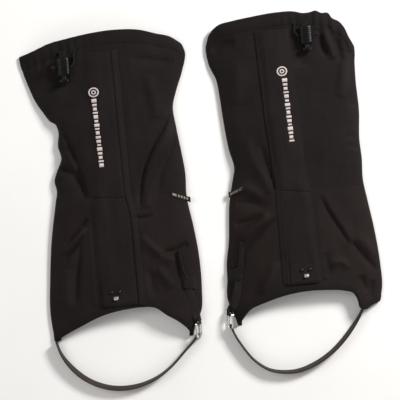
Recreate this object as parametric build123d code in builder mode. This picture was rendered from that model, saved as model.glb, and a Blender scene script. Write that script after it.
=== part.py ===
"""A pair of front-opening gaiters, laid flat on their backs side by side.

Millimetres. +Z is up, +Y points to the knee end, +X to the wearer's right. The origin is on the
surface that the pair lies on, under the middle of its bounding box.

Each gaiter is drawn in its own frame: u runs across it, from the outer side of the leg (-u) to the
inner side (+u), v runs up the leg, and both gaiters lean a little to the left on the surface.
"""
import math
import os
from dataclasses import dataclass

from build123d import *

os.makedirs("parts", exist_ok=True)

# Driving dimensions
LEAN = 5.0             # degrees that each gaiter leans to the left
SHEET = 1.0            # fabric panel
CROWN = 24.0           # height of the flattened tube on its centreline
ARCH_R = 420.0         # radius of the arch that the front makes across the leg
TOP_HEM = 20.0         # width of the cord tunnel round the knee end
TOP_HEM_WALL = 3.6     # its two layers with the cord between them
LOW_HEM = 9.0          # width of the bound edge round the boot end
LOW_HEM_WALL = 1.6
TAPE = 1.0             # loop tape on the shell
HOOK_TAPE = 0.8        # hook tape under the flap
CLEAR = 0.3            # gap between pieces that move against each other
TRIM = 0.8             # bindings, patches and labels
CORD_D = 2.4
KNOT_R = 2.6
KNOT_LONG = 4.0
STRAP_WIDTH = 12.0
STRAP_THICK = 2.0
WIRE = 2.2             # metal rod of the buckle frame
REACH = 320.0          # longer than any gaiter, for cutting tools
TALL = 60.0            # taller than any gaiter, for cutting tools

FLAP_LOW = TAPE + CLEAR + HOOK_TAPE
FLAP_TOP = FLAP_LOW + SHEET

LOCK_WIDE = 18.0
LOCK_THICK = 11.0
LOCK_LONG = 26.0
PLUNGER_R = 4.0
PLUNGER_TRAVEL = 4.0
PLUNGER_OUT = 7.0      # how far the plunger's cap stands out of the barrel
SPRING_R = 2.9
SPRING_WIRE = 0.7
SPRING_SEAT = 4.0      # from the barrel's middle to the spring's lower end
BARREL_FLOOR = 3.0
LOCK_TAB_WIDE = 10.0   # webbing that holds the barrel to the hem
LOCK_TAB_LONG = 12.0
LOCK_TAB_THICK = 1.2

HOOK_PLATE_WIDE = 18.0
HOOK_PLATE_LONG = 8.0
HOOK_PLATE_THICK = 1.0
HOOK_WIDE = 7.0        # the hook itself, which the boot lace goes under
HOOK_LONG = 9.0
HOOK_LIP = 2.0
HOOK_RISE = 4.2        # height of the hook above its plate's underside
RIVET_APART = 11.2
RIVET_R = 2.6
RIVET_TALL = 1.2

BUCKLE_LONG = 21.0
BUCKLE_WIDE = STRAP_WIDTH + 2 * WIRE + 1
BUCKLE_TILT = 65.0     # degrees that the buckle and its tab roll over the inner fold
TONGUE_THICK = 1.2
TONGUE_EYE = WIRE * 0.71 + 0.25
TAB_WRAP = 1.0         # thickness of the webbing round the buckle's bar
TAB_SIDES = ((-4.0, -1.6), (1.6, 4.0))
TAB_TAIL = 3.6
TAB_THICK = 1.6


@dataclass
class Gaiter:
    side: str
    across: int        # 1 where +u is +X, -1 where it is -X
    place: tuple       # where u = v = 0 is
    outer: list        # (u, v) down the outer fold, past both ends
    inner: list        # (u, v) down the inner fold, past both ends
    top: list          # (u, v) along the knee end, past both folds
    hem: list          # (u, v) along the boot end, past both folds
    seam_v: float      # where the upper fabric meets the lower
    hinge_top_u: float  # sewn edge of the front flap, at its top
    hinge_low_u: float  # and at its bottom
    free_top_u: float  # free edge of the flap, at its top
    free_low_u: float  # and at its bottom
    flap_top_v: float
    flap_low_v: float
    lock: tuple        # (u, v) of the middle of the cord lock
    hook: tuple        # (u, v) of the lace hook, between its rivets
    keeper: tuple      # (u, v) of the strap keeper
    tail: list         # (u, v) up the strap's tail
    strap: list        # (u, v) round the instep strap, from its anchor to its buckle
    buckle: tuple      # (u, v) of the middle of the buckle
    label: tuple       # (u, v) of the side label


LEFT = Gaiter(
    side="left", across=1, place=(-108.6, -0.4),
    outer=[(-140, 262), (-127, 208), (-84, 110), (-85, 62), (-98, -20), (-113, -130), (-115, -230)],
    inner=[(104, 262), (104, 200), (85, 125), (89, 40), (99, -80), (98, -165), (96, -230)],
    top=[(-165, 200), (-127, 213), (-62, 231), (10, 238), (70, 229), (108, 208), (140, 180)],
    hem=[(-150, -206), (-104, -187), (-60, -165), (10, -151), (46, -161), (80, -173), (130, -174)],
    seam_v=4.0, hinge_top_u=-48.0, hinge_low_u=-48.0, free_top_u=5.0, free_low_u=20.0,
    flap_top_v=206.0, flap_low_v=-147.0,
    lock=(-65.0, 192.0), hook=(-20.0, -127.0), keeper=(83.0, -123.0),
    tail=[(71, -80), (76, -112), (82, -134), (89, -171)],
    strap=[(-109, -204), (-94, -226), (-58, -255), (-20, -263), (22, -254), (55, -232), (86, -202)],
    buckle=(91.0, -190.0), label=(81.0, -2.0),
)
RIGHT = Gaiter(
    side="right", across=-1, place=(138.4, 19.6),
    outer=[(-84, 262), (-90, 205), (-94, 100), (-92, 30), (-103, -80), (-102, -165), (-102, -230)],
    inner=[(116, 262), (110, 195), (98, 110), (90, 28), (103, -70), (113, -155), (115, -230)],
    top=[(-130, 150), (-94, 200), (-58, 238), (11, 243), (76, 238), (112, 208), (150, 170)],
    hem=[(-150, -186), (-104, -181), (-72, -172), (-30, -149), (20, -147), (70, -158), (150, -158)],
    seam_v=-6.0, hinge_top_u=-10.0, hinge_low_u=-23.0, free_top_u=44.0, free_low_u=34.0,
    flap_top_v=216.0, flap_low_v=-137.0,
    lock=(-27.0, 208.0), hook=(1.0, -117.0), keeper=(99.0, -116.0),
    tail=[(86, -72), (91, -104), (96, -126), (105, -159)],
    strap=[(-70, -184), (-61, -203), (-42, -225), (-12, -247), (23, -258), (50, -257), (78, -242), (108, -194)],
    buckle=(112.0, -180.0), label=(92.0, 0.0),
)
LEAN_COS = math.cos(math.radians(LEAN))
LEAN_SIN = math.sin(math.radians(LEAN))
TILT_COS = math.cos(math.radians(BUCKLE_TILT))
TILT_SIN = math.sin(math.radians(BUCKLE_TILT))


def spot(g, u, v, z):
    """The point u, v, z of a gaiter's own frame, in the pair's frame."""
    x = g.across * u
    return Vector(g.place[0] + x * LEAN_COS - v * LEAN_SIN, g.place[1] + x * LEAN_SIN + v * LEAN_COS, z)


def way(g, u, v, z):
    """The direction u, v, z of a gaiter's own frame, in the pair's frame."""
    return spot(g, u, v, z) - spot(g, 0, 0, 0)


def laid(g, height=0.0):
    """The plane that a gaiter's plan is drawn on, as x = across * u and y = v."""
    return Plane(origin=spot(g, 0, 0, height), x_dir=(LEAN_COS, LEAN_SIN, 0), z_dir=(0, 0, 1))


def section(g, v=0.0):
    """An upright plane across the leg, with x = across * u and y up, facing the boot end."""
    return Plane(origin=spot(g, 0, v, 0), x_dir=(LEAN_COS, LEAN_SIN, 0), z_dir=way(g, 0, -1, 0))


def arch_height(u):
    """Height of the front's outer face above the surface, u from the centreline."""
    return CROWN - ARCH_R + math.sqrt(ARCH_R**2 - u**2)


def plan(g, points, du=0.0, dv=0.0):
    """Points of a gaiter's frame on its laid plane, moved by du and dv."""
    return [(g.across * (u + du), v + dv) for u, v in points]


def between_ends(g, low, high):
    """Face between two curves that run across the whole gaiter."""
    with BuildSketch(laid(g)) as face:
        with BuildLine():
            Spline(*low)
            Spline(*high)
            Line(low[0], high[0])
            Line(low[-1], high[-1])
        make_face()
    return face.sketch


def between_folds(g, inset):
    """Face between the two folds, set in by the wall's thickness, running past both ends."""
    with BuildSketch(laid(g)) as face:
        with BuildLine():
            outer = plan(g, g.outer, du=inset)
            inner = plan(g, g.inner, du=-inset)
            Spline(*outer)
            Spline(*inner)
            Line(outer[0], inner[0])
            Line(outer[-1], inner[-1])
        make_face()
    return face.sketch


def raised(face, height):
    """A face drawn in plan, lifted to this height."""
    return face.moved(Location((0, 0, height)))


def under_arch(g, rise):
    """The long cylinder whose upper side is the front's arch, raised by rise."""
    with BuildPart() as body:
        with BuildSketch(section(g)):
            with Locations((0, CROWN - ARCH_R)):
                Circle(ARCH_R + rise)
        extrude(amount=REACH, both=True)
    return body.part


def tube_space(g, wall):
    """The space inside the flattened tube, for a wall of this thickness."""
    with BuildPart() as space:
        extrude(raised(between_folds(g, wall), wall), amount=TALL)
        add(under_arch(g, -wall), mode=Mode.INTERSECT)
    return space.part


def shell_piece(g, band, wall, bottom, region=None):
    """Tube wall over a band across the gaiter, from height bottom up, kept to a region in plan."""
    face = band & between_folds(g, 0)
    if region:
        face = face & region
    with BuildPart() as piece:
        extrude(raised(face, bottom), amount=TALL)
        add(under_arch(g, 0), mode=Mode.INTERSECT)
        add(tube_space(g, wall), mode=Mode.SUBTRACT)
    return piece.part


def rear_piece(g, band):
    """Flat rear panel over a band across the gaiter."""
    with BuildPart() as piece:
        extrude(band & between_folds(g, 0), amount=SHEET)
    return piece.part


def outline(g, points):
    """Face inside straight lines between points of the gaiter's frame."""
    with BuildSketch(laid(g)) as face:
        with BuildLine():
            Polyline(*plan(g, points), close=True)
        make_face()
    return face.sketch


def box_outline(g, u_low, u_high, v_low, v_high):
    """Face between two values of u and two of v."""
    return outline(g, [(u_low, v_low), (u_high, v_low), (u_high, v_high), (u_low, v_high)])


def ribbon(g, points, width):
    """Face of a band of this width along a smooth line."""
    with BuildSketch(laid(g)) as face:
        with BuildLine():
            Spline(*plan(g, points))
        trace(line_width=width)
    return face.sketch


def layer(g, face, low, high):
    """A sheet that follows the front's arch, from low to high above it."""
    with BuildPart() as piece:
        extrude(face, amount=TALL)
        add(under_arch(g, high), mode=Mode.INTERSECT)
        add(under_arch(g, low), mode=Mode.SUBTRACT)
    return piece.part


def flap_strip(g, edge, low_u, high_u, v_low, v_high):
    """Face of a strip from low_u to high_u beside the flap's "free" or "hinge" edge."""
    top_u, bottom_u = (g.free_top_u, g.free_low_u) if edge == "free" else (g.hinge_top_u, g.hinge_low_u)
    slope = (top_u - bottom_u) / (g.flap_top_v - g.flap_low_v)
    at_low = bottom_u + (v_low - g.flap_low_v) * slope
    at_high = bottom_u + (v_high - g.flap_low_v) * slope
    corners = [(at_low + low_u, v_low), (at_low + high_u, v_low)]
    return outline(g, corners + [(at_high + high_u, v_high), (at_high + low_u, v_high)])


def save(g, name, part):
    """Writes one piece of a gaiter."""
    part.label = f"{g.side}_{name}"
    export_step(part, f"parts/{part.label}.step")


def save_shell(g):
    """Rear and front panels, and the two hems that go all the way round."""
    seam = [(-REACH, g.seam_v), (REACH, g.seam_v)]
    low_edge = plan(g, g.hem)
    low_inside = plan(g, g.hem, dv=LOW_HEM)
    top_inside = plan(g, g.top, dv=-TOP_HEM)
    top_edge = plan(g, g.top)
    lower = between_ends(g, low_inside, plan(g, seam))
    upper = between_ends(g, plan(g, seam), top_inside)
    outer_side = flap_strip(g, "hinge", -REACH, 0, -REACH, REACH)
    inner_side = flap_strip(g, "hinge", 0, REACH, -REACH, REACH)
    save(g, "rear_upper_panel", rear_piece(g, upper))
    save(g, "rear_lower_panel", rear_piece(g, lower))
    save(g, "outer_upper_panel", shell_piece(g, upper, SHEET, SHEET, outer_side))
    save(g, "outer_lower_panel", shell_piece(g, lower, SHEET, SHEET, outer_side))
    save(g, "inner_upper_panel", shell_piece(g, upper, SHEET, SHEET, inner_side))
    save(g, "inner_lower_panel", shell_piece(g, lower, SHEET, SHEET, inner_side))
    save(g, "top_hem", shell_piece(g, between_ends(g, top_inside, top_edge), TOP_HEM_WALL, 0))
    save(g, "lower_hem", shell_piece(g, between_ends(g, low_edge, low_inside), LOW_HEM_WALL, 0))
    save(g, "ankle_elastic", ankle_elastic(g))


def ankle_elastic(g):
    """Elastic band sewn inside the rear, above the ankle."""
    with BuildPart() as band:
        extrude(raised(box_outline(g, -72, 72, 54, 64), SHEET), amount=TRIM)
    return band.part


def save_closure(g):
    """Front flap with its hook tape, and what it closes on."""
    low, top = g.flap_low_v, g.flap_top_v
    sewn = [(g.hinge_top_u, top), (g.hinge_low_u, low)]
    flap = outline(g, sewn + [(g.free_low_u, low), (g.free_top_u, top)])
    tape_low, tape_top = low + 14, top - 26
    save(g, "loop_tape", layer(g, flap_strip(g, "free", -26, -4, tape_low, tape_top), 0, TAPE))
    hook_low = TAPE + CLEAR
    hooks = flap_strip(g, "free", -25, -5, tape_low, tape_top)
    save(g, "hook_tape", layer(g, hooks, hook_low, FLAP_LOW))
    save(g, "front_flap", layer(g, flap, FLAP_LOW, FLAP_TOP))
    edge = flap_strip(g, "free", -10, 0, low, top)
    save(g, "flap_binding", layer(g, edge, FLAP_TOP, FLAP_TOP + TRIM))
    seam_strip = flap_strip(g, "hinge", -8, 6, low + 12, top - 10)
    save(g, "flap_seam_tape", layer(g, seam_strip, 0, TRIM))
    patch = box_outline(g, g.hinge_low_u + 4, g.free_low_u - 13, low, low + 40)
    save(g, "flap_patch", layer(g, patch, FLAP_TOP, FLAP_TOP + TRIM))


def save_lace_hook(g):
    """Metal hook on the flap's lower end, and its two rivets."""
    u, v = g.hook
    plate_low = FLAP_TOP + TRIM
    plate_top = plate_low + HOOK_PLATE_THICK
    hook_top = plate_low + HOOK_RISE
    half = HOOK_WIDE / 2
    root_v = v - HOOK_PLATE_LONG / 2
    end_v = root_v - HOOK_LONG
    plate = box_outline(g, u - HOOK_PLATE_WIDE / 2, u + HOOK_PLATE_WIDE / 2, root_v, v + HOOK_PLATE_LONG / 2)
    neck = box_outline(g, u - half, u + half, end_v, root_v)
    lip = box_outline(g, u - half, u + half, end_v, end_v + HOOK_LIP)
    bar = box_outline(g, u - half, u + half, end_v + HOOK_LIP / 2, root_v - HOOK_LIP)
    with BuildPart() as hook:
        add(layer(g, plate, plate_low, plate_top))
        add(layer(g, neck, plate_low, plate_top))
        add(layer(g, lip, plate_low, hook_top))
        add(layer(g, bar, hook_top - HOOK_PLATE_THICK, hook_top))
    save(g, "lace_hook", hook.part)
    with BuildPart() as rivets:
        for side in (-1, 1):
            rivet_u = u + side * RIVET_APART / 2
            highest = arch_height(max(abs(rivet_u) - RIVET_R, 0))
            at = spot(g, rivet_u, v, highest + plate_top)
            with BuildSketch(Plane(origin=at, z_dir=(0, 0, 1))):
                Circle(RIVET_R)
            extrude(amount=RIVET_TALL, taper=25)
    save(g, "hook_rivets", rivets.part)


def lock_plane(g, along):
    """Plane across the cord lock, along from its middle up the leg, facing the boot end."""
    u, v = g.lock
    lift = arch_height(u) + CLEAR + LOCK_THICK / 2
    return Plane(origin=spot(g, u, v + along, lift + 1), x_dir=way(g, 1, 0, 0), z_dir=way(g, 0, -1, 0))


def cord_hole(g, along_low):
    """The slot that the cord goes through, from side to side of the lock, running down to along_low."""
    side = Plane(origin=lock_plane(g, 0).origin, x_dir=way(g, 0, 1, 0), z_dir=way(g, 1, 0, 0))
    radius = CORD_D / 2 + 0.4
    with BuildPart() as hole:
        with BuildSketch(side):
            Circle(radius)
            with Locations((along_low, 0)):
                Circle(radius)
            with Locations((along_low / 2, 0)):
                Rectangle(abs(along_low) + 0.01, 2 * radius)
        extrude(amount=LOCK_WIDE, both=True)
    return hole.part


def save_cord_lock(g):
    """Barrel, sprung plunger and tab of the cord lock, and the cord that it grips."""
    half = LOCK_LONG / 2
    with BuildPart() as barrel:
        with BuildSketch(lock_plane(g, half)):
            SlotOverall(LOCK_WIDE, LOCK_THICK)
        extrude(amount=LOCK_LONG)
        with BuildSketch(lock_plane(g, half - BARREL_FLOOR)):
            Circle(PLUNGER_R + 0.1)
        extrude(amount=LOCK_LONG, mode=Mode.SUBTRACT)
        add(cord_hole(g, 0), mode=Mode.SUBTRACT)
    save(g, "cord_lock_barrel", barrel.part)
    with BuildPart() as plunger:
        with BuildSketch(lock_plane(g, SPRING_SEAT)):
            Circle(PLUNGER_R)
        extrude(amount=SPRING_SEAT + half + PLUNGER_TRAVEL + 1)
        with BuildSketch(lock_plane(g, -half - PLUNGER_TRAVEL - 1)):
            SlotOverall(LOCK_WIDE - 3, LOCK_THICK - 1.5)
        extrude(amount=PLUNGER_OUT - PLUNGER_TRAVEL)
        add(cord_hole(g, -PLUNGER_TRAVEL), mode=Mode.SUBTRACT)
    save(g, "cord_lock_plunger", plunger.part)
    spring_long = half - BARREL_FLOOR - SPRING_SEAT
    turns = 3
    with BuildPart() as spring:
        for turn in range(turns):
            along = SPRING_SEAT + SPRING_WIRE + turn * (spring_long - 2 * SPRING_WIRE) / (turns - 1)
            with BuildSketch(lock_plane(g, along + SPRING_WIRE / 2)):
                Circle(SPRING_R)
                Circle(SPRING_R - SPRING_WIRE, mode=Mode.SUBTRACT)
            extrude(amount=SPRING_WIRE)
    save(g, "cord_lock_spring", spring.part)
    with BuildPart() as tab:
        with BuildSketch(lock_plane(g, half + LOCK_TAB_LONG)):
            with Locations((0, 1 - LOCK_THICK / 2)):
                Rectangle(LOCK_TAB_WIDE, LOCK_TAB_THICK)
        extrude(amount=LOCK_TAB_LONG)
    save(g, "cord_lock_tab", tab.part)
    save(g, "drawcord", drawcord(g))


def corner_radii(route, tight=3.5, wide=60.0):
    """Radius of the arc at each inner point of a cord's route: tight where it turns sharply."""
    radii = []
    for before, here, after in zip(route, route[1:], route[2:]):
        half_turn = math.radians((here - before).get_angle(after - here)) / 2
        shorter = min((here - before).length, (after - here).length)
        radii.append(min(0.45 * shorter / math.tan(half_turn), tight if half_turn > 0.5 else wide))
    return radii


def drawcord(g):
    """Cord from a knot through the lock, into the hem, along the front and back round the rear."""
    u, v = g.lock
    lock_z = lock_plane(g, 0).origin.Z
    deep = TOP_HEM_WALL / 2
    tunnel = Spline(*[(a, b - TOP_HEM / 2) for a, b in g.top])
    in_hem = [tunnel @ (step / 24) for step in range(1, 24)]
    fold_u = g.top[-2][0] - 14
    route = [spot(g, u - 14, v, lock_z), spot(g, u + 12, v, lock_z)]
    route += [spot(g, u + 13, v + 13, arch_height(u + 13) + 4)]
    route += [spot(g, p.X, p.Y, arch_height(p.X) - deep) for p in in_hem if u + 20 < p.X < fold_u]
    route += [spot(g, p.X, p.Y, deep) for p in reversed(in_hem) if g.top[1][0] + 20 < p.X < fold_u]
    path = FilletPolyline(*route, radius=corner_radii(route))
    with BuildPart() as cord:
        with BuildSketch(Plane(origin=path @ 0, z_dir=path % 0)):
            Circle(CORD_D / 2)
        sweep(path=path)
        with BuildSketch(Plane(origin=path @ 0, z_dir=path % 0 * -1)):
            Circle(KNOT_R)
        extrude(amount=KNOT_LONG)
    print(g.side, "drawcord length", round(path.length), "solid", round(cord.part.volume))
    return cord.part


def save_strap(g):
    """Instep strap, its anchor, its tail and the keeper that holds the tail."""
    with BuildPart() as strap:
        extrude(ribbon(g, g.strap, STRAP_THICK), amount=STRAP_WIDTH)
    save(g, "instep_strap", strap.part)
    end_u, end_v = g.strap[0]
    with BuildPart() as anchor:
        base = box_outline(g, end_u - 3.6, end_u - 1.4, end_v - 3, end_v + 20)
        extrude(raised(base, LOW_HEM_WALL), amount=arch_height(end_u - 4) - 2 * LOW_HEM_WALL - CLEAR)
    save(g, "strap_anchor", anchor.part)
    tail_low, tail_top = CLEAR, CLEAR + STRAP_THICK - 0.2
    save(g, "strap_tail", layer(g, ribbon(g, g.tail, STRAP_WIDTH - 1), tail_low, tail_top))
    u, v = g.keeper
    with BuildPart() as keeper:
        add(layer(g, box_outline(g, u - 10, u + 10, v - 9, v + 9), 0, tail_top + CLEAR + TRIM))
        add(layer(g, ribbon(g, g.tail, STRAP_WIDTH), -1, tail_top + CLEAR), mode=Mode.SUBTRACT)
    save(g, "keeper_band", keeper.part)


def buckle_plane(g, height=0.0):
    """Plane of the buckle: x up the leg, y across the strap, facing up and off the inner side."""
    u, v = g.buckle
    normal = way(g, TILT_SIN, 0, TILT_COS)
    centre = spot(g, u, v, CLEAR + TILT_SIN * BUCKLE_WIDE / 2 + WIRE / 4)
    return Plane(origin=centre + normal * height, x_dir=way(g, 0, 1, 0), z_dir=normal)


def save_buckle(g):
    """Metal frame on its webbing tab, and the tongue on the same bar."""
    with BuildPart() as frame:
        with BuildSketch(buckle_plane(g, -WIRE / 2)):
            RectangleRounded(BUCKLE_LONG, BUCKLE_WIDE, 3)
            RectangleRounded(BUCKLE_LONG - 2 * WIRE, BUCKLE_WIDE - 2 * WIRE, 1.2, mode=Mode.SUBTRACT)
        extrude(amount=WIRE)
    save(g, "buckle_frame", frame.part)
    bar = buckle_plane(g).from_local_coords(((BUCKLE_LONG - WIRE) / 2, 0, 0))
    across = Plane(origin=bar, x_dir=buckle_plane(g).x_dir, z_dir=buckle_plane(g).y_dir)
    with BuildPart() as tongue:
        with BuildSketch(across):
            Circle(TONGUE_EYE + TONGUE_THICK / 2)
            Circle(TONGUE_EYE, mode=Mode.SUBTRACT)
        extrude(amount=TONGUE_THICK, both=True)
        with BuildSketch(across):
            with Locations(((1 - BUCKLE_LONG - TONGUE_EYE) / 2, tongue_side(g) * (WIRE / 2 + 0.85))):
                Rectangle(BUCKLE_LONG - 1 - TONGUE_EYE, TONGUE_THICK)
        extrude(amount=TONGUE_THICK, both=True)
    save(g, "buckle_tongue", tongue.part)
    with BuildPart() as tab:
        for low, high in TAB_SIDES:
            with BuildSketch(Plane(origin=bar + across.z_dir * low, x_dir=across.x_dir, z_dir=across.z_dir)):
                Circle(TONGUE_EYE + TAB_WRAP)
                Circle(TONGUE_EYE, mode=Mode.SUBTRACT)
            extrude(amount=high - low)
        half_tab = TAB_SIDES[1][1]
        with BuildSketch(Plane(origin=bar - across.z_dir * half_tab, x_dir=across.x_dir, z_dir=across.z_dir)):
            with Locations((TONGUE_EYE + 0.75 + TAB_TAIL / 2, 0)):
                Rectangle(TAB_TAIL, TAB_THICK)
        extrude(amount=2 * half_tab)
    save(g, "buckle_tab", tab.part)


def tongue_side(g):
    """Side of the section plane that faces out of the buckle."""
    plane = buckle_plane(g)
    across = Plane(origin=plane.origin, x_dir=plane.x_dir, z_dir=plane.y_dir)
    return 1 if across.y_dir.dot(plane.z_dir) > 0 else -1


def save_label(g):
    """Plain woven tab on the inner side."""
    u, v = g.label
    save(g, "side_label", layer(g, box_outline(g, u - 11, u + 11, v - 5, v + 5), 0, TRIM))


for gaiter in (LEFT, RIGHT):
    save_shell(gaiter)
    save_closure(gaiter)
    save_lace_hook(gaiter)
    save_cord_lock(gaiter)
    save_strap(gaiter)
    save_buckle(gaiter)
    save_label(gaiter)
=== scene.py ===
"""The looks of a pair of front-opening gaiters, laid flat on their backs side by side.

Each gaiter is drawn in its own frame, in millimetres: u runs across it, from the outer side of the
leg (-u) to the inner side (+u), v runs up the leg, and z is the height above the surface.
"""
import math
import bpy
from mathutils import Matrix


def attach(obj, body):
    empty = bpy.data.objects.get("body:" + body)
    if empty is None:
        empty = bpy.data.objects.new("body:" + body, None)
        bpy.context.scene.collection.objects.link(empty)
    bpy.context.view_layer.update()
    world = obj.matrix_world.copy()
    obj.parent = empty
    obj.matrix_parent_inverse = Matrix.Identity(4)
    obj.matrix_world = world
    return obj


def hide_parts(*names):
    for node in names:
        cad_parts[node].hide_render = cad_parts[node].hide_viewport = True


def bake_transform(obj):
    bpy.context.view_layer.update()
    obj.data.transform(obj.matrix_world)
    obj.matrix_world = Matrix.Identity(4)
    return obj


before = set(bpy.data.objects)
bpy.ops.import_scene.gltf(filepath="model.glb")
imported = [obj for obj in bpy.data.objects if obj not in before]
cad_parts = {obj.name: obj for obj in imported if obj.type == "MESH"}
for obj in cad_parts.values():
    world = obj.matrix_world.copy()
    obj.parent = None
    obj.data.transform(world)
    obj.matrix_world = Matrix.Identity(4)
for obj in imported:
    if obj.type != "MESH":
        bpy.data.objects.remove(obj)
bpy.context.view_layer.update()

from types import SimpleNamespace

import bpy
import numpy as np
from mathutils import Vector, noise

# The dimensions that part.py gives
MM = 0.001
LEAN = math.radians(5)
CROWN, ARCH_R = 24, 420
TOP_HEM, LOW_HEM = 20, 9
STRAP_WIDTH, WIRE = 12, 2.2
BUCKLE_LONG, BUCKLE_TILT = 21, math.radians(65)
LOCK_LONG = 26
FLAP_TOP = 3.0        # the flap's upper face, above the front

# How the fabric lies
FOLD_Z = 3.2          # height of the silhouette's edge, where the front turns under
ROLL = 26             # how far in from a fold the front is still rising
UNDER = 5             # how far the front turns under the fold
REAR_Z = 0.4
CLOTH = 0.7           # thickness of one layer
CELL = 4              # spacing of the simulated wrinkles
FOLD_GAIN = 1.75
SEAM_LAP = 0.5        # step where the flap's upper fabric laps the lower
LOW_DRAPE = 1.0       # how far the flap's lower edge drops over the hem

# Both gaiters, and the folds below. Their points were read off the photograph by eye, and a scratch script
# turned them into these units. The rest was adjusted.
LEFT = SimpleNamespace(
    side="left", across=1, place=(-108.6, -0.4), seed=3,
    outer=[(-112, -190), (-115, -150), (-111, -100), (-104, -45), (-94, 5), (-91, 20), (-93, 35),
           (-88, 49), (-81, 65), (-84, 83), (-82, 106), (-85, 114), (-92, 119), (-100, 131), (-109, 146),
           (-118, 170), (-125, 195), (-128, 213)],
    inner=[(82, -198), (85, -187), (91, -176), (97, -163), (100, -135), (100, -84), (96, -45), (90, 0),
           (91, 30), (88, 62), (84, 95), (82, 127), (88, 146), (99, 174), (105, 197), (101, 213)],
    top=[(-128, 213), (-108, 219), (-81, 228), (-62, 231), (-26, 236), (10, 238), (45, 235), (68, 228),
         (86, 223), (101, 213)],
    hem=[(-112, -190), (-101, -184), (-73, -171), (-40, -158), (-6, -152), (16, -151), (32, -153),
         (48, -165), (63, -175), (75, -186), (82, -198)],
    seam_v=4, flap_seam=[(7, -48), (2, 20)], short_seam=[(24, -27.5), (34, -27), (50, -24)],
    hinge=[(-48, -147), (-48, 206)], free=[(20, -147), (19, -25), (13, 10), (11, 208)],
    hook=(-20, -127), lock=(-65, 192), keeper=(83, -123), lean=65, drape=1.6, fall_run=6, bind=.85,
    tail=[(91, -178), (89, -168), (82, -134), (76, -112), (71, -78)],
    strap=[(-110, -190), (-105, -206), (-92, -227), (-76, -243), (-56, -255), (-32, -262), (-6, -262),
           (20, -255), (48, -238), (68, -219), (85, -202), (90, -195)],
    buckle=(91, -190), label=(68, 95, -2), mark=(-26.5, 153), bars=[(-27, 144), (-24, 45)],
)
RIGHT = SimpleNamespace(
    side="right", across=-1, place=(138.4, 19.6), seed=11,
    outer=[(-100, -172), (-105, -150), (-105, -119), (-101, -70), (-95, -28), (-91, 2), (-92, 33),
           (-91, 56), (-94, 100), (-93, 140), (-94, 172), (-95, 190)],
    inner=[(101, -188), (104, -177), (109, -164), (113, -150), (111, -122), (110, -100), (105, -73),
           (98, -11), (91, 18), (88, 31), (93, 59), (98, 108), (100, 139), (102, 157), (111, 181),
           (113, 208)],
    top=[(-95, 190), (-88, 203), (-82, 217), (-75, 225), (-66, 230), (-60, 238), (-52, 238), (-44, 242),
         (-34, 240), (-25, 240), (-14, 243), (11, 244), (47, 241), (73, 238), (96, 233), (106, 224),
         (113, 208)],
    hem=[(-100, -171), (-88, -175), (-77, -180), (-72, -179), (-69, -167), (-63, -156), (-50, -151),
         (-27, -148), (0, -147), (34, -151), (60, -158), (84, -168), (94, -179), (101, -188)],
    seam_v=-6, flap_seam=[(-11, -23), (-3, 34)], short_seam=[(40, -24), (56, -26), (74, -22)],
    hinge=[(-23, -137), (-10, 216)], free=[(34, -137), (33, -10), (40, 100), (44, 216)],
    hook=(1, -117), lock=(-27, 208), keeper=(99, -116), lean=69, drape=2.3, fall_run=12, bind=.4,
    tail=[(112, -167), (105, -157), (96, -126), (91, -104), (86, -72)],
    strap=[(-79, -166), (-74, -180), (-67, -192), (-58, -204), (-45, -219), (-26, -236), (0, -251),
           (23, -258), (43, -258), (63, -253), (81, -240), (98, -217), (109, -195), (112, -185)],
    buckle=(112, -180), label=(78, 99, 0), mark=(10.5, 161), bars=[(8, 151), (5, 58)],
)

# Folds of the fabric: height (a groove where it is negative), width, how much steeper its left side
# is, seen along it, and the line it follows
LEFT.folds = [
    (-3.4, 2, 0, [(80, 120), (65, 93), (49, 69), (35, 42), (27, 12), (24, -12)]),
    (2.6, 8, .4, [(88, 112), (74, 86), (58, 62), (44, 36), (36, 6), (34, -14)]),
    (-2.6, 6, 0, [(84, 84), (70, 58), (56, 30), (50, 4)]),
    (-2.4, 2.4, 0, [(13, -25), (25, -27), (40, -24)]),
    (2.4, 6, .4, [(22, -51), (40, -71), (66, -92)]),
    (-3.4, 5, 0, [(48, -78), (66, -77), (86, -68)]),
    (-3.4, 2.4, 0, [(-50, -22), (-66, -38), (-85, -58)]),
    (3, 5, .3, [(-54, -34), (-70, -51), (-87, -68)]),
    (-3, 2.2, 0, [(-58, -46), (-76, -64), (-90, -80)]),
    (-2.8, 5, .3, [(-63, -57), (-72, -99), (-78, -140)]),
    (2, 7, 0, [(-86, -90), (-92, -150)]),
    (-3.6, 8, .3, [(-84, 56), (-71, 46), (-58, 31), (-52, 5)]),
    (-3.2, 6, .3, [(-76, 108), (-65, 76), (-55, 33), (-50, 8)]),
    (2.5, 5, 0, [(-80, 74), (-68, 60), (-60, 46)]),
    (-1.8, 5, 0, [(-107, 196), (-84, 203), (-60, 206)]),
    (-2, 5, 0, [(-62, 180), (-74, 166), (-92, 158)]),
    (2, 12, 0, [(-88, 180), (-72, 140)]),
    (-1.6, 5, 0, [(30, -100), (32, -138)]),
    (2.4, 6, .3, [(42, -98), (60, -126)]),
    (2.2, 9, 0, [(52, 170), (60, 110)]),
    (-2, 6, 0, [(30, 196), (56, 192), (88, 186)]),
]
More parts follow.
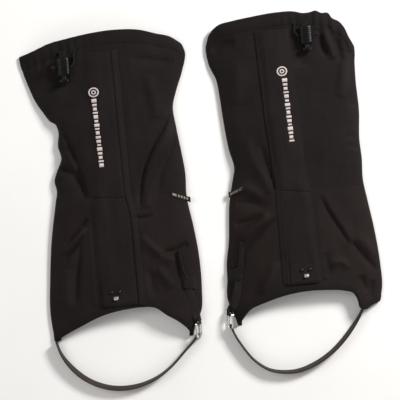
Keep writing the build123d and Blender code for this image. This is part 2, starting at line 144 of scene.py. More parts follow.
RIGHT.folds = [
    (1.8, 8, -.4, [(66, 74), (62, 42), (47, 12), (36, -6)]),
    (-3, 2.4, 0, [(48, 62), (45, 42), (39, 20), (35, -6)]),
    (1.2, 6, 0, [(58, 56), (54, 36), (48, 16), (42, -6)]),
    (-3.2, 2.4, .2, [(38, -42), (52, -54), (66, -66), (86, -84)]),
    (3, 6, 0, [(44, -36), (64, -50), (90, -68)]),
    (-3, 5, 0, [(56, -36), (76, -44), (94, -46)]),
    (2.8, 6, -.3, [(39, -104), (52, -126), (66, -146)]),
    (1.6, 7, .35, [(-31, -14), (-44, -42), (-60, -70), (-68, -88)]),
    (-2, 3, 0, [(-27, -16), (-38, -40), (-52, -66), (-62, -86)]),
    (-2.6, 4, .3, [(-66, -84), (-80, -105), (-99, -127)]),
    (1.6, 7, 0, [(-74, -74), (-88, -92), (-100, -108)]),
    (-2, 4, 0, [(-28, -96), (-31, -130)]),
    (2, 5, 0, [(-34, -114), (-48, -110), (-60, -120)]),
    (-3.8, 5, .3, [(-42, 216), (-46, 196), (-53, 176)]),
    (3.2, 5, 0, [(-54, 212), (-58, 194), (-64, 172)]),
    (-3.6, 5, .3, [(-62, 210), (-70, 191), (-74, 168)]),
    (2.6, 8, 0, [(-82, 180), (-76, 150), (-68, 118)]),
    (-1.8, 6, 0, [(-22, 184), (-16, 166)]),
    (-2.5, 5, 0, [(-74, -132), (-82, -156)]),
    (-2.6, 5, 0, [(-92, -140), (-86, -166)]),
    (-2.6, 6, 0, [(104, 196), (94, 204), (72, 208)]),
    (2.4, 7, 0, [(92, 6), (72, 2), (52, -12)]),
    (-2.4, 7, 0, [(90, -16), (70, -18), (48, -26)]),
    (2, 10, 0, [(70, 180), (76, 120)]),
]
PAIR = (LEFT, RIGHT)


# ---------------------------------------------------------------- curves and heights

def spot(g, u, v, z):
    """Points of a gaiter's own frame, in the pair's frame, in metres."""
    u, v, z = np.broadcast_arrays(np.asarray(u, float), v, z)
    x = g.across * u
    place_x = g.place[0] + x * math.cos(LEAN) - v * math.sin(LEAN)
    place_y = g.place[1] + x * math.sin(LEAN) + v * math.cos(LEAN)
    return np.stack([place_x, place_y, z], -1) * MM


def smooth(points, count):
    """This many points, evenly spaced along a smooth curve through the given ones."""
    p = np.array(points, float)
    at = np.r_[0, np.cumsum(np.linalg.norm(np.diff(p, axis=0), axis=1))]
    slope = np.gradient(p, at, axis=0)
    t = np.linspace(0, at[-1], 30 * len(p))
    i = np.clip(np.searchsorted(at, t, side="right") - 1, 0, len(p) - 2)
    step = (at[i + 1] - at[i])[:, None]
    x = (t - at[i])[:, None] / step
    curve = (p[i] * (2 * x**3 - 3 * x**2 + 1) + p[i + 1] * (3 * x**2 - 2 * x**3)
             + step * (slope[i] * (x**3 - 2 * x**2 + x) + slope[i + 1] * (x**3 - x**2)))
    return resample(curve, np.linspace(0, 1, count))


def resample(curve, shares):
    """Points at these shares of a dense curve's length."""
    at = np.r_[0, np.cumsum(np.linalg.norm(np.diff(curve, axis=0), axis=1))]
    return np.stack([np.interp(shares * at[-1], at, curve[:, k]) for k in range(curve.shape[1])], -1)


def level(height):
    """A height that is the same everywhere."""
    return lambda u, v: 0 * u + height


def ease(x):
    """0 to 1 with no corner at either end."""
    x = np.clip(x, 0, 1)
    return x * x * (3 - 2 * x)


def line_u(points, v):
    """u of a line that runs up the leg, at v."""
    p = np.array(points, float)
    return np.interp(v, p[:, 1], p[:, 0])


def arch_height(u):
    return CROWN - ARCH_R + np.sqrt(ARCH_R**2 - u**2)


def prepare(g):
    """Smooth versions of the outlines, and of the folds' lines."""
    g.outer_line = smooth(g.outer, 200)
    g.inner_line = smooth(g.inner, 200)
    g.top_line = smooth(g.top, 400)
    g.hem_line = smooth(g.hem, 400)
    g.fold_lines = [smooth(points, 14) for _, _, _, points in g.folds]


def cross(g, line, shift):
    """The top or hem line moved up the leg, and stretched to end on the two folds."""
    u, v = line[:, 0], line[:, 1] + shift
    low, high = line_u(g.outer_line, v[0]), line_u(g.inner_line, v[-1])
    share = (u - u[0]) / (u[-1] - u[0])
    return np.stack([low + share * (high - low), v], -1)


def fold_relief(u, v, line, height, width, steep):
    """Height that one fold adds: highest on its line, and fading out at both its ends."""
    start, run = line[:-1], np.diff(line, axis=0)
    away = np.stack([u, v], -1)[:, None] - start
    share = np.clip((away * run).sum(-1) / (run**2).sum(-1), 0, 1)
    off = away - share[..., None] * run
    nearest = np.linalg.norm(off, axis=-1).argmin(1)
    rows = np.arange(len(u))
    off, share = off[rows, nearest], share[rows, nearest]
    side = np.sign(run[nearest, 0] * off[:, 1] - run[nearest, 1] * off[:, 0])
    reach = width * (1 - steep * side)
    along = (nearest + share) / len(run)
    sharp = 1.3 if height < 0 else 2
    across = np.exp(-((off**2).sum(1)**.5 / reach)**sharp)
    fade = np.sqrt(np.clip(4 * along * (1 - along), 0, 1))
    return height * across * fade


def settle(g):
    """Wrinkles of the front: procedural waves, settled a little by cloth simulation.
    """
    u, v = np.meshgrid(np.arange(-136, 137, CELL), np.arange(-212, 257, CELL))
    start = 1.5 * waves(u.ravel(), v.ravel(), 34, 62, g.seed).reshape(u.shape)
    start += .55 * waves(u.ravel(), v.ravel(), 13, 26, g.seed + 5).reshape(u.shape)
    g.wrinkles = start
    at = np.stack([u, v, arch_height(u) + start], -1).reshape(-1, 3) * MM
    mesh = bpy.data.meshes.new("settling")
    mesh.from_pydata([tuple(p) for p in at], [], grid_faces(*u.shape))
    sheet = bpy.data.objects.new("settling", mesh)
    bpy.context.scene.collection.objects.link(sheet)
    sheet.shape_key_add(name="laid")
    cut = sheet.shape_key_add(name="cut")
    cut.data.foreach_set("co", (at * (1.06, 1.015, 1)).ravel())
    inside = (u > line_u(g.outer_line, v) + 5) & (u < line_u(g.inner_line, v) - 5)
    inside &= (v > np.interp(u, g.hem_line[:, 0], g.hem_line[:, 1]) + 10)
    inside &= (v < np.interp(u, g.top_line[:, 0], g.top_line[:, 1]) - TOP_HEM)
    held = sheet.vertex_groups.new(name="held")
    held.add([int(i) for i in np.flatnonzero(~inside.ravel())], 1, "REPLACE")
    cloth = sheet.modifiers.new("cloth", "CLOTH")
    cloth.collision_settings.use_self_collision = False
    fibre = cloth.settings
    fibre.rest_shape_key = cut
    fibre.vertex_group_mass = "held"
    fibre.quality = 6
    fibre.mass = .01
    fibre.tension_stiffness = fibre.compression_stiffness = 25
    fibre.shear_stiffness = 4
    fibre.bending_stiffness = .03
    fibre.effector_weights.gravity = 0
    for step in range(1, 31):
        bpy.context.scene.frame_set(step)
    settled = sheet.evaluated_get(bpy.context.evaluated_depsgraph_get()).to_mesh()
    now = np.zeros(len(settled.vertices) * 3)
    settled.vertices.foreach_get("co", now)
    g.wrinkles = np.clip(now.reshape(*u.shape, 3)[..., 2] / MM - arch_height(u), -2.2, 3)
    bpy.data.objects.remove(sheet)
    bpy.context.scene.frame_set(1)


def wrinkle_at(g, u, v):
    """The settled wrinkles at any point, smoothed between their cells."""
    a, b = (u + 136) / CELL, (v + 212) / CELL
    rows, columns = g.wrinkles.shape
    i, j = np.rint(b).astype(int), np.rint(a).astype(int)
    total = 0
    for di, wi in zip((-1, 0, 1), blend_weights(b - i)):
        for dj, wj in zip((-1, 0, 1), blend_weights(a - j)):
            cell = g.wrinkles[np.clip(i + di, 0, rows - 1), np.clip(j + dj, 0, columns - 1)]
            total = total + wi * wj * cell
    return total


def blend_weights(f):
    return .5 * (.5 - f)**2, .75 - f**2, .5 * (.5 + f)**2


def waves(u, v, size_u, size_v, seed):
    """Smooth noise from -1 to 1, with its own size across and up the leg."""
    return np.array([noise.noise((a / size_u, b / size_v, seed)) for a, b in zip(u, v)])


def relief(g, u, v):
    """How far the fabric stands off its smooth arch."""
    shape, u, v = np.shape(u), np.ravel(u), np.ravel(v)
    total = wrinkle_at(g, u, v)
    for (height, width, steep, _), line in zip(g.folds, g.fold_lines):
        total += FOLD_GAIN * fold_relief(u, v, line, height, width, steep)
    below_hem = np.interp(u, g.top_line[:, 0], g.top_line[:, 1]) - TOP_HEM - v
    ripple = np.sin(u * .55 + 3 * waves(u, v, 40, 90, g.seed + 9))
    total += 1.1 * ripple * np.exp(-(below_hem / 22)**2 - ((u - g.lock[0] + 14) / 40)**2)
    ankle = np.exp(-((v - 60) / 34)**2) * np.exp(-((u - line_u(g.outer_line, v)) / 16)**2)
    total += 1.4 * np.sin(v * .42 + .04 * u) * ankle
    for (a, b), reach in ((g.hook, 22), (g.lock, 20), ((g.keeper[0], g.keeper[1]), 16)):
        total *= 1 - .85 * np.exp(-((u - a)**2 + (v - b)**2) / reach**2)
    return total.reshape(shape)


def from_edge(g, u, v):
    """How far a point lies in from the nearer silhouette edge."""
    return np.minimum(u - line_u(g.outer_line, v), line_u(g.inner_line, v) - u)


def unwrinkled(g, u, v):
    """Height of the front's outer face with no folds or wrinkles in it."""
    rise = np.sqrt(1 - (1 - np.clip(from_edge(g, u, v) / ROLL, 0, 1))**2)
    return FOLD_Z + (arch_height(u) - FOLD_Z) * rise


def front(g, u, v):
    """Height of the front's outer face."""
    return unwrinkled(g, u, v) + relief(g, u, v) * ease(from_edge(g, u, v) / 12)


def rear(g, u, v):
    """Height of the rear's outer face, which the surface presses flat."""
    return REAR_Z + .25 * waves(np.ravel(u), np.ravel(v), 30, 50, g.seed + 20).reshape(np.shape(u))


# ---------------------------------------------------------------- meshes

def grid_faces(rows, columns, closed_rows=False, closed_columns=False, flip=False):
    """Quads between the points of a grid."""
    faces = []
    for r in range(rows if closed_rows else rows - 1):
        for c in range(columns if closed_columns else columns - 1):
            r2, c2 = (r + 1) % rows, (c + 1) % columns
            face = (r * columns + c, r * columns + c2, r2 * columns + c2, r2 * columns + c)
            faces.append(face[::-1] if flip else face)
    return faces


def make(name, points, faces, material, body, stands_for=None, thick=0, rim=True):
    """A piece from its points and faces, on its body and with its material."""
    mesh = bpy.data.meshes.new(name)
    mesh.from_pydata([tuple(p) for p in np.reshape(points, (-1, 3))], [], faces)
    mesh.validate()
    mesh.update()
    mesh.polygons.foreach_set("use_smooth", [True] * len(mesh.polygons))
    mesh.materials.append(material)
    piece = bpy.data.objects.new(name, mesh)
    bpy.context.scene.collection.objects.link(piece)
    if thick:
        wall = piece.modifiers.new("thickness", "SOLIDIFY")
        wall.thickness = thick * MM
        wall.offset = -1
        wall.use_rim = rim
    if body:
        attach(piece, body)
    if stands_for:
        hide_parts(stands_for)
    return piece


def shown_name(node, slot):
    """Name of the piece that stands for a CAD node."""
    kind = {"hook_metal": "metal", "lock_plastic": "moulded", "strap_rubber": "rubber"}.get(slot, "cloth")
    return f"{node}_{kind}"


def gaiter_grid(g, name, uvz, material, body, slot, stands_for=True, thick=CLOTH, rim=True, **closed):
    """A piece from a grid of (u, v, z) points."""
    points = spot(g, uvz[..., 0], uvz[..., 1], uvz[..., 2])
    faces = grid_faces(*uvz.shape[:2], flip=g.across < 0, **closed)
    node = f"{g.side}_{name}"
    return make(shown_name(node, slot) if stands_for else node, points, faces, material,
                f"{g.side}_{body}" if body else None, node if stands_for else None, thick, rim)


def coons(bottom, top, left, right):
    """Grid of points that fills four curves: bottom and top run across, left and right run up."""
    s = np.linspace(0, 1, len(bottom))[None, :, None]
    t = np.linspace(0, 1, len(left))[:, None, None]
    corners = ((1 - s) * (1 - t) * bottom[0] + s * (1 - t) * bottom[-1]
               + (1 - s) * t * top[0] + s * t * top[-1])
    return (1 - t) * bottom + t * top + (1 - s) * left[:, None] + s * right[:, None] - corners


def turn_under(g, grid, side):
    """Columns that carry a front panel round its fold and a little way under it."""
    edge = grid[:, 0 if side == "outer" else -1]
    inward = 1 if side == "outer" else -1
    columns = []
    for angle in np.radians([22, 45, 67, 90]):
        u = edge[:, 0] + inward * UNDER * (1 - math.cos(angle))
        z = FOLD_Z - (FOLD_Z - REAR_Z) * math.sin(angle)
        columns.append(np.stack([u, edge[:, 1], np.full(len(u), z)], -1))
    under = np.stack(columns, 1)
    return np.concatenate([under[:, ::-1], grid], 1) if side == "outer" else np.concatenate([grid, under], 1)


def panel(g, name, low, high, side, rows, columns, material, slot):
    """Front panel between two lines across the leg, from a fold to the flap's sewn edge.

    The lower ones tuck under the upper ones.
    """
    dense = np.linspace(0, 1, 200)
    ends = []
    for line in (low, high):
        split = np.interp(0, line[:, 0] - line_u(g.hinge, line[:, 1]), np.linspace(0, 1, len(line)))
        shares = dense * split if side == "outer" else split + dense * (1 - split)
        piece = np.stack([np.interp(shares, np.linspace(0, 1, len(line)), line[:, k]) for k in (0, 1)], -1)
        crowd = np.linspace(0, 1, columns)**1.5
        ends.append(resample(piece, crowd if side == "outer" else 1 - crowd[::-1]))
    bottom, top = ends
    fold = g.outer_line if side == "outer" else g.inner_line
    sides = []
    for k, line in ((0, fold if side == "outer" else g.hinge), (-1, g.hinge if side == "outer" else fold)):
        v = np.linspace(bottom[k, 1], top[k, 1], rows)
        sides.append(np.stack([line_u(line, v), v], -1))
    # coons() spaces its columns evenly, so the crowded columns are put back in its blend
    crowded = np.linspace(0, 1, columns)**1.5 if side == "outer" else 1 - np.linspace(1, 0, columns)**1.5
    s = crowded[None, :, None]
    t = np.linspace(0, 1, rows)[:, None, None]
    left, right = sides
    corners = ((1 - s) * (1 - t) * bottom[0] + s * (1 - t) * bottom[-1]
               + (1 - s) * t * top[0] + s * t * top[-1])
    flat = (1 - t) * bottom + t * top + (1 - s) * left[:, None] + s * right[:, None] - corners
    tuck = .08 * ease((flat[..., 1] - g.seam_v + 1) / 1.5) if "lower" in name else 0
    grid = np.concatenate([flat, (front(g, flat[..., 0], flat[..., 1]) - tuck)[..., None]], -1)
    whole = turn_under(g, grid, side)
    piece = gaiter_grid(g, name, whole, material, "shell", slot, rim=False)
    return piece


def rear_panel(g, name, low, high, rows, columns, material, slot):
    """Rear panel between two lines across the leg, lapping the fronts where they turn under."""
    shares = np.linspace(0, 1, columns)
    bottom, top = resample(low, shares), resample(high, shares)
    sides = []
    for k, line in ((0, g.outer_line), (-1, g.inner_line)):
        v = np.linspace(bottom[k, 1], top[k, 1], rows)
        sides.append(np.stack([line_u(line, v), v], -1))
    flat = coons(bottom, top, *sides)
    inset = UNDER - 1
    flat[..., 0] += inset * (1 - 2 * shares)
    z = rear(g, flat[..., 0], flat[..., 1]) + .15
    grid = np.concatenate([flat, z[..., None]], -1)[:, ::-1]
    piece = gaiter_grid(g, name, grid, material, "shell", slot)
    return piece


def hem_ring(g, name, line, profile, columns, material, slot):
    """Hem all the way round an end: each of the profile's (shift, inset) points makes one ring."""
    rings = []
    share = np.linspace(0, 1, columns)
    share = .5 - .5 * np.cos(np.pi * share) * (1 - .35 * np.sin(np.pi * share))
    for shift, inset in profile:
        across = resample(cross(g, line, shift), share)
        u, v = across[:, 0], across[:, 1]
        z = front(g, u, v)
        bend = np.radians([30, 60, 90])
        drop = FOLD_Z - (FOLD_Z - REAR_Z) * np.sin(bend)
        inner = np.stack([u[-1] - UNDER * (1 - np.cos(bend)), np.full(3, v[-1]), drop], -1)
        outer = np.stack([u[0] + UNDER * (1 - np.cos(bend)), np.full(3, v[0]), drop], -1)[::-1]
        low_share = np.linspace(.04, .96, columns // 2)
        low = resample(across, low_share)[::-1]
        back = np.stack([low[:, 0], low[:, 1], np.full(len(low), REAR_Z)], -1)
        ring = np.concatenate([np.stack([u, v, z], -1), inner, back, outer])
        tangent = np.roll(ring, -1, 0) - np.roll(ring, 1, 0)
        inward = np.stack([tangent[:, 2], np.zeros(len(tangent)), -tangent[:, 0]], -1)
        inward /= np.linalg.norm(inward, axis=1)[:, None] + 1e-9
        from_fold = np.minimum(ring[:, 0] - u[0], u[-1] - ring[:, 0])
        room = .7 + .3 * ease(from_fold / 14)
        ring = ring + inward * (inset * room)[:, None]
        ring[:, 2] = np.maximum(ring[:, 2], 0.05)
        rings.append(ring)
    grid = np.stack(rings)
    return gaiter_grid(g, name, grid[::-1], material, "shell", slot, thick=0,
                       closed_rows=True, closed_columns=True)


def strip(g, low_line, high_line, v_range, rows, columns, lift, edge=0, base=front):
    """Grid between two lines that run up the leg, lift above the front, with its edges rounded down."""
    v = (np.linspace(*v_range, rows) if len(v_range) == 2 else v_range)[:, None]
    s = np.linspace(0, 1, columns)[None]
    u = line_u(low_line, v) * (1 - s) + line_u(high_line, v) * s
    v = v + 0 * u
    z = base(g, u, v) + (lift(u, v) if callable(lift) else lift)
    if edge:
        width = np.abs(u[:, -1:] - u[:, :1])
        near = np.minimum(s, 1 - s) * width
        z = z - edge * (1 - ease(near / 1.5))
    return np.stack([u, v, z], -1)


def shifted(line, by):
    """A line that runs up the leg, moved across it."""
    return [(u + by, v) for u, v in line]


def sweep_profile(path, profile_at, closed_profile=True):
    """Grid of points from a profile carried along a path: profile_at(i) gives (side, up) offsets."""
    tangent = np.gradient(path, axis=0)
    tangent /= np.linalg.norm(tangent, axis=1)[:, None]
    side = np.cross(tangent, (0, 0, 1))
    side /= np.linalg.norm(side, axis=1)[:, None] + 1e-9
    up = np.cross(side, tangent)
    rows = []
    for i in range(len(path)):
        rows.append([path[i] + a * side[i] + b * up[i] for a, b in profile_at(i)])
    return np.array(rows)


def flat_profile(width, thick, turn, corner=.5, lift=0):
    """Closed outline of a flat strap's section, turned about its middle."""
    w, t, c = width / 2, thick / 2, corner
    near = c * .3
    outline = [(-w, -t + c), (-w + near, -t + near), (-w + c, -t), (-w / 2, -t), (0, -t), (w / 2, -t),
               (w - c, -t), (w - near, -t + near), (w, -t + c), (w, t - c), (w - near, t - near), (w - c, t),
               (w / 2, t), (0, t), (-w / 2, t), (-w + c, t), (-w + near, t - near), (-w, t - c)]
    cos, sin = math.cos(turn), math.sin(turn)
    return [(a * cos - b * sin, a * sin + b * cos + lift) for a, b in outline]


def swept(g, name, uvz_path, profile_at, material, body, slot, stands_for=True):
    """A piece swept along a path in a gaiter's frame, with both its ends closed."""
    grid = sweep_profile(uvz_path, profile_at)
    rows, columns = grid.shape[:2]
    points = spot(g, grid[..., 0], grid[..., 1], grid[..., 2])
    flip = g.across < 0
    faces = grid_faces(rows, columns, closed_columns=True, flip=not flip)
    first, last = list(range(columns)), list(range((rows - 1) * columns, rows * columns))
    faces += [first[::-1] if flip else first, last if flip else last[::-1]]
    node = f"{g.side}_{name}"
    piece = shown_name(node, slot) if stands_for else node
    return make(piece, points, faces, material, f"{g.side}_{body}", node if stands_for else None)


# ---------------------------------------------------------------- materials

def nodes_of(name):
    """A new material's node tree, its shader and its texture coordinates."""
    material = bpy.data.materials.new(name)
    material.use_nodes = True
    tree = material.node_tree
    shader = tree.nodes["Principled BSDF"]
    where = tree.nodes.new("ShaderNodeTexCoord")
    turn = tree.nodes.new("ShaderNodeMapping")
    turn.inputs["Rotation"].default_value = (0, 0, -LEAN)
    tree.links.new(where.outputs["Object"], turn.inputs["Vector"])
    return material, tree, shader, turn.outputs["Vector"]


def noise_node(tree, where, scale, detail=3, rough=.55):
    node = tree.nodes.new("ShaderNodeTexNoise")
    node.inputs["Scale"].default_value = scale
    node.inputs["Detail"].default_value = detail
    node.inputs["Roughness"].default_value = rough
    tree.links.new(where, node.inputs["Vector"])
    return node.outputs["Fac"]


def ramp(tree, fac, low, high, start=.3, end=.7):
    """Two colours blended by a value."""
    node = tree.nodes.new("ShaderNodeValToRGB")
    node.color_ramp.elements[0].position = start
    node.color_ramp.elements[1].position = end
    node.color_ramp.elements[0].color = (*low, 1)
    node.color_ramp.elements[1].color = (*high, 1)
    tree.links.new(fac, node.inputs["Fac"])
    return node.outputs["Color"]


def maths(tree, operation, a, b):
    node = tree.nodes.new("ShaderNodeMath")
    node.operation = operation
    for socket, value in zip(node.inputs, (a, b)):
        if isinstance(value, (int, float)):
            socket.default_value = value
        else:
            tree.links.new(value, socket)
    return node.outputs["Value"]


def bands(tree, where, direction, pitch, warp=0):
    """Ridges this many millimetres apart."""
    node = tree.nodes.new("ShaderNodeTexWave")
    node.wave_type = "BANDS"
    node.bands_direction = direction
    node.inputs["Scale"].default_value = math.pi / 10 / (pitch * MM)
    node.inputs["Distortion"].default_value = warp
    tree.links.new(where, node.inputs["Vector"])
    return node.outputs["Fac"]


def bump(tree, shader, height, depth, strength=1):
    node = tree.nodes.new("ShaderNodeBump")
    node.inputs["Distance"].default_value = depth * MM
    node.inputs["Strength"].default_value = strength
    tree.links.new(height, node.inputs["Height"])
    tree.links.new(node.outputs["Normal"], shader.inputs["Normal"])


def scaled(colour, by):
    return tuple(min(1, c * by) for c in colour)


def fabric(name, colour, pitch, depth=.25, rough=.7, sheen=.03, twill=0, ripstop=0, blotch=.35, gloss=.13):
    """Woven cloth: threads both ways, a fine fuzz, and shade that wanders a little over the cloth."""
    material, tree, shader, where = nodes_of(name)
    weft = bands(tree, where, "X", pitch, .4)
    warp = bands(tree, where, "Y", pitch * .9, .4)
    weave = maths(tree, "MAXIMUM", weft, warp)
    if twill:
        weave = maths(tree, "ADD", weave, maths(tree, "MULTIPLY", bands(tree, where, "DIAGONAL", twill), .8))
    if ripstop:
        for direction in "XY":
            cord = maths(tree, "GREATER_THAN", bands(tree, where, direction, ripstop), .93)
            weave = maths(tree, "ADD", weave, maths(tree, "MULTIPLY", cord, .9))
    fuzz = maths(tree, "MULTIPLY", noise_node(tree, where, 1400, 2), .6)
    bump(tree, shader, maths(tree, "ADD", weave, fuzz), depth)
    wander = noise_node(tree, where, 28, 4)
    grain = noise_node(tree, where, 700, 2)
    shade = maths(tree, "ADD", maths(tree, "MULTIPLY", wander, .7), maths(tree, "MULTIPLY", grain, .3))
    tree.links.new(ramp(tree, shade, scaled(colour, 1 - blotch), scaled(colour, 1 + blotch)),
                   shader.inputs["Base Color"])
    worn = maths(tree, "ADD", maths(tree, "MULTIPLY", noise_node(tree, where, 60, 3), .16), rough - .08)
    tree.links.new(worn, shader.inputs["Roughness"])
    shader.inputs["Sheen Weight"].default_value = sheen
    shader.inputs["Sheen Roughness"].default_value = .45
    shader.inputs["Specular IOR Level"].default_value = gloss
    return material


def hard(name, colour, rough, metallic=0, grain=260, depth=.04, blotch=.15, gloss=.5):
    """Moulded plastic or worn metal."""
    material, tree, shader, where = nodes_of(name)
    fine = noise_node(tree, where, grain, 5, .65)
    bump(tree, shader, fine, depth)
    patches = noise_node(tree, where, 90, 4)
    tones = ramp(tree, patches, scaled(colour, 1 - blotch), scaled(colour, 1 + blotch))
    tree.links.new(tones, shader.inputs["Base Color"])
    worn = maths(tree, "ADD", maths(tree, "MULTIPLY", noise_node(tree, where, 150, 4), .2), rough - .1)
    tree.links.new(worn, shader.inputs["Roughness"])
    shader.inputs["Metallic"].default_value = metallic
    shader.inputs["Specular IOR Level"].default_value = gloss
    return material


upper_cloth = fabric("upper_fabric", (.0098, .0062, .006), .9, .2, ripstop=6)
lower_cloth = fabric("lower_fabric", (.0104, .0061, .0053), 1.3, .28, rough=.62)
flap_cloth = fabric("flap_fabric", (.0101, .0067, .0062), 1.0, .18, twill=1.3)
hem_cloth = fabric("hem_fabric", (.0084, .0054, .0052), .9, .22)
elastic = fabric("elastic", (.007, .006, .006), 1.6, .5)
closure = fabric("closure_tape", (.008, .007, .0075), 1.1, .9, rough=.9, sheen=.15)
binding = fabric("binding_tape", (.0108, .0074, .007), 1.0, .25, twill=1.8)
webbing = fabric("webbing", (.01, .0075, .007), 1.5, .5)
label_cloth = fabric("label_weave", (.012, .01, .0095), .7, .2)
cord_cloth = fabric("cord_braid", (.011, .009, .0088), 1.2, .4, twill=1.6)
strap_cloth = fabric("strap_rubber", (.031, .0225, .019), 1.4, .4, rough=.55, sheen=.02, blotch=.25, gloss=.2)
# Painted shade: the tail is the same strap as the instep strap, given a darker copy of its colour in place of
# the shade on its rolled face
tail_cloth_painted_shade = fabric("strap_tail", (.0125, .0092, .0082), 1.4, .3, rough=.5, sheen=.02, blotch=.2, gloss=.14)
thread = fabric("thread", (.0095, .0075, .0072), .5, .2)
print_ink = fabric("print_ink", (.6, .53, .51), .9, .12, rough=.7, sheen=0, blotch=.18)
label_ink = fabric("label_ink", (.3, .26, .2), .7, .12, rough=.7, sheen=0, blotch=.25)
plastic = hard("lock_plastic", (.0022, .0019, .0019), .36, grain=300, depth=.006, gloss=.2)
spring_steel = hard("spring_steel", (.6, .58, .55), .3, metallic=1)
hook_metal = hard("hook_metal", (.7, .68, .64), .3, metallic=1, depth=.02)
rivet_metal = hard("rivet_metal", (.035, .032, .03), .3, metallic=1, depth=.03)
buckle_metal = hard("buckle_metal", (.82, .8, .76), .26, metallic=1, depth=.02)


# ---------------------------------------------------------------- pieces

def build_shell(g):
    """Panels and hems of the flattened tube."""
    seam = np.stack([np.linspace(-1, 1, 400), np.full(400, float(g.seam_v))], -1)
    seam[:, 0] = np.linspace(line_u(g.outer_line, g.seam_v), line_u(g.inner_line, g.seam_v), 400)
    low = cross(g, g.hem_line, LOW_HEM - 1)
    high = cross(g, g.top_line, 1 - TOP_HEM)
    for name, side, columns in (("outer", "outer", 44), ("inner", "inner", 84)):
        columns = {"left": columns, "right": 128 - columns if side == "inner" else 56}[g.side]
        panel(g, f"{name}_lower_panel", low, seam + (0, 2), side, 100, columns, lower_cloth, "lower_fabric")
        panel(g, f"{name}_upper_panel", seam, high, side, 120, columns, upper_cloth, "upper_fabric")
    rear_panel(g, "rear_lower_panel", low, seam, 50, 50, lower_cloth, "lower_fabric")
    rear_panel(g, "rear_upper_panel", seam, high, 60, 50, upper_cloth, "upper_fabric")
    tunnel = [(-20.3, .5), (-19.4, -.1), (-17.5, -.6), (-13, -1), (-8, -1), (-4, -.6), (-1.4, -.1), (-.2, .8),
              (0, 1.6), (-.5, 2.4), (-2, 3), (-8, 3.2), (-14, 3.2), (-19.4, 3), (-20.3, 1.8)]
    hem_ring(g, "top_hem", g.top_line, tunnel, 130, hem_cloth, "hem_fabric")
    bound = [(9.4, .2), (9, -.3), (7.4, -.7), (5, -.8), (2.4, -.8), (.8, -.4), (0, .3), (0, .9), (.8, 1.5),
             (3, 1.7), (7, 1.7), (9.4, 1.2)]
    hem_ring(g, "lower_hem", g.hem_line, bound[::-1], 130, hem_cloth, "hem_fabric")
    grid = strip(g, [(-72, 0), (-72, 100)], [(72, 0), (72, 100)], (54, 64), 8, 120, 0,
                 base=lambda g, u, v: rear(g, u, v) + 1.5 + .35 * np.sin(u * 1.1))
    gaiter_grid(g, "ankle_elastic", grid, elastic, "shell", "elastic", thick=.5)


def edge_fall(g, u, v):
    """How far the flap drops toward its free edge, over the tapes under it."""
    return g.drape * ease((u - line_u(g.free, v) + g.fall_run) / g.fall_run)


def build_closure(g):
    """Front flap and what it closes on."""
    low, top = g.hinge[0][1], g.hinge[1][1]

    def flap_lift(u, v):
        past_seam = v - line_u(g.flap_seam, u)
        lapped = SEAM_LAP * ease(past_seam / 1.2) - .7 * np.exp(-(past_seam / .9)**2)
        drape = edge_fall(g, u, v) + LOW_DRAPE * ease((low + 5 - v) / 5)
        run = 13 + 17 * ease((v - g.seam_v + 20) / 50)
        sunk = .4 + .5 * ease((v - g.seam_v + 20) / 50)
        groove = (g.bind - .25) * np.exp(-((u - line_u(g.free, v) + 9.6) / 1.1)**2)
        return (FLAP_TOP + sunk) * ease((u - line_u(g.hinge, v)) / run) - sunk + lapped - drape - groove

    def binding_lift(u, v):
        return FLAP_TOP + g.bind - edge_fall(g, u, v) - LOW_DRAPE * ease((low + 5 - v) / 5)

    rows = 190
    levels = np.sort(np.r_[np.linspace(low, top + 3, rows - 36), g.seam_v + np.linspace(-9, 9, 36)])
    grid = strip(g, g.hinge, g.free, levels, rows, 44, flap_lift)
    flap = gaiter_grid(g, "front_flap", grid, flap_cloth, None, "flap_fabric", thick=.9)
    axis = spot(g, g.hinge[1][0], g.hinge[1][1], 0) - spot(g, g.hinge[0][0], g.hinge[0][1], 0)
    across = np.cross(axis / np.linalg.norm(axis), (0, 0, 1))
    toward = spot(g, g.free[0][0], 0, 0) - spot(g, g.hinge[0][0], 0, 0)
    across *= np.sign(across @ toward)
    middle = spot(g, line_u(g.hinge, 0), 0, CROWN)
    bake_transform(flap)
    plain = strip(g, g.hinge, g.free, levels, rows, 44, flap_lift, base=unwrinkled)

    tape_range = (low + 14, top - 26)
    loops = strip(g, shifted(g.free, -26), shifted(g.free, -4), tape_range, 150, 14, .95, edge=.5)
    gaiter_grid(g, "loop_tape", loops, closure, "shell", "closure_tape", thick=.85)
    hooks = strip(g, shifted(g.free, -25), shifted(g.free, -5), tape_range, 150, 14,
                  lambda u, v: 2.05 - edge_fall(g, u, v), edge=.2)
    gaiter_grid(g, "hook_tape", hooks, closure, "flap", "closure_tape", thick=.7)
    edge = strip(g, shifted(g.free, -9), shifted(g.free, .8), (low - .5, top + 3.5), rows, 12,
                 binding_lift, edge=.6)
    gaiter_grid(g, "flap_binding", edge, binding, "flap", "binding_tape", thick=.9)
    tape = strip(g, shifted(g.hinge, -5), shifted(g.hinge, 1), (low + 4, top - 10), 160, 10,
                 lambda u, v: .2 - .9 * ease((v - g.seam_v + 34) / 30), edge=.25)
    gaiter_grid(g, "flap_seam_tape", tape, flap_cloth, "shell", "binding_tape", thick=.4)
    patch = strip(g, shifted(g.hinge, 9), shifted(g.free, -10), (low + .5, low + 34), 40, 30,
                  lambda u, v: FLAP_TOP + .4 - LOW_DRAPE * ease((low + 5 - v) / 5), edge=.5)
    gaiter_grid(g, "flap_patch", patch, lower_cloth, "flap", "lower_fabric", thick=.7)


